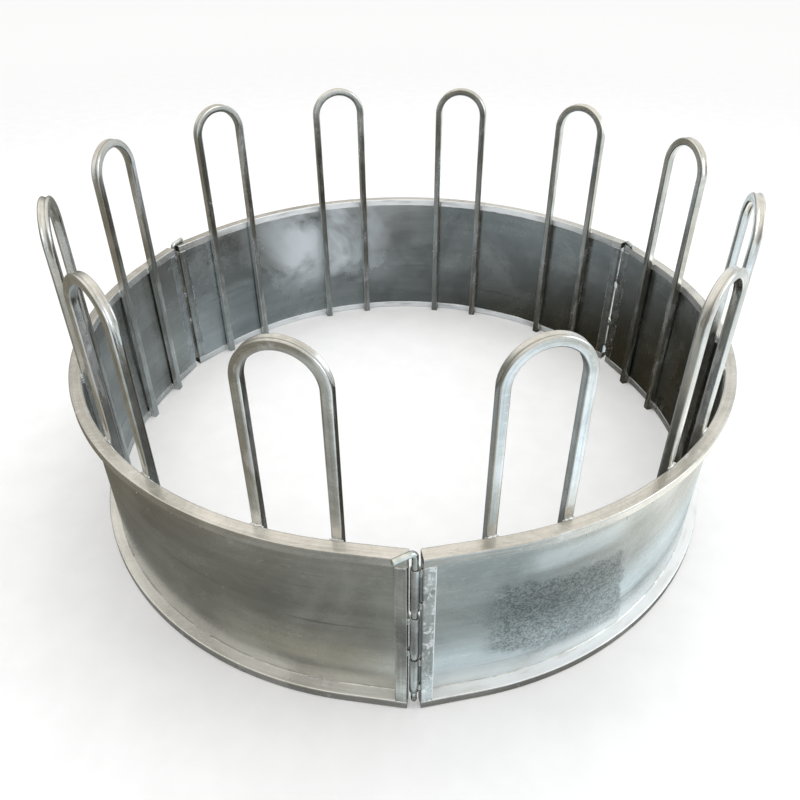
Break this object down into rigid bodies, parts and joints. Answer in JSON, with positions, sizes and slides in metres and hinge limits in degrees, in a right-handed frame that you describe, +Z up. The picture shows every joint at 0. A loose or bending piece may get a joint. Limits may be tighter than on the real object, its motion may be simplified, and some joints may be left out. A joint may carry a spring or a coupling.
{
  "type": "round bale feeder",
  "caption": "Galvanised ring feeder for a round bale: curved sheet sections between box-tube rims, bent-tube hoops above them, and hinge knuckles joined by L-shaped drop pins.",
  "frame": {"origin": "on the ring's axis, at ground level", "axes": "+Z up; the front joint, between the left and right sections, is on -Y; +X is to the right for someone who faces that joint from outside"},
  "size_m": [2.0996, 2.13, 1.061],
  "materials": {
    "galvanised_sheet": "hot-dip galvanised sheet, dull grey with cloudy patches, fine spangle, runs and light scratches",
    "galvanised_frame": "hot-dip galvanised box tube, satin, with bright weld beads and zinc runs",
    "galvanised_hoop": "hot-dip galvanised bent box tube, satin, streaked along the tube",
    "hinge_tube": "hot-dip galvanised round tube, dull, with zinc splashes",
    "pin_steel": "galvanised round bar, bright"
  },
  "bodies": {
    "back_section": {"back_sheet": "galvanised_sheet", "back_top_rim": "galvanised_frame", "back_bottom_rim": "galvanised_frame", "back_twin_knuckle_post": "galvanised_frame", "back_single_knuckle_post": "galvanised_frame", "back_top_knuckle": "hinge_tube", "back_middle_knuckle": "hinge_tube", "back_bottom_knuckle": "hinge_tube", "back_hoop_1": "galvanised_hoop", "back_hoop_2": "galvanised_hoop", "back_hoop_3": "galvanised_hoop", "back_hoop_4": "galvanised_hoop"},
    "left_section": {"left_sheet": "galvanised_sheet", "left_top_rim": "galvanised_frame", "left_bottom_rim": "galvanised_frame", "left_twin_knuckle_post": "galvanised_frame", "left_single_knuckle_post": "galvanised_frame", "left_top_knuckle": "hinge_tube", "left_middle_knuckle": "hinge_tube", "left_bottom_knuckle": "hinge_tube", "left_hoop_1": "galvanised_hoop", "left_hoop_2": "galvanised_hoop", "left_hoop_3": "galvanised_hoop", "left_hoop_4": "galvanised_hoop"},
    "right_section": {"right_sheet": "galvanised_sheet", "right_top_rim": "galvanised_frame", "right_bottom_rim": "galvanised_frame", "right_twin_knuckle_post": "galvanised_frame", "right_single_knuckle_post": "galvanised_frame", "right_top_knuckle": "hinge_tube", "right_middle_knuckle": "hinge_tube", "right_bottom_knuckle": "hinge_tube", "right_hoop_1": "galvanised_hoop", "right_hoop_2": "galvanised_hoop", "right_hoop_3": "galvanised_hoop", "right_hoop_4": "galvanised_hoop"},
    "front_pin": {"front_pin": "pin_steel"},
    "back_left_pin": {"back_left_pin": "pin_steel"},
    "back_right_pin": {"back_right_pin": "pin_steel"}
  },
  "joints": [
    {"name": "left_section_swing", "type": "hinge", "parent": "back_section", "child": "left_section", "pos_m": [-0.9066, 0.5234, 0.28], "axis": [0, 0, -1], "range_deg": [0, 85]},
    {"name": "right_section_swing", "type": "hinge", "parent": "back_section", "child": "right_section", "pos_m": [0.9066, 0.5234, 0.28], "axis": [0, 0, 1], "range_deg": [0, 85]},
    {"name": "front_pin_lift", "type": "slide", "parent": "right_section", "child": "front_pin", "axis": [0, 0, 1], "range_m": [0, 0.51]},
    {"name": "back_left_pin_lift", "type": "slide", "parent": "back_section", "child": "back_left_pin", "axis": [0, 0, 1], "range_m": [0, 0.51]},
    {"name": "back_right_pin_lift", "type": "slide", "parent": "back_section", "child": "back_right_pin", "axis": [0, 0, 1], "range_m": [0, 0.51]}
  ]
}
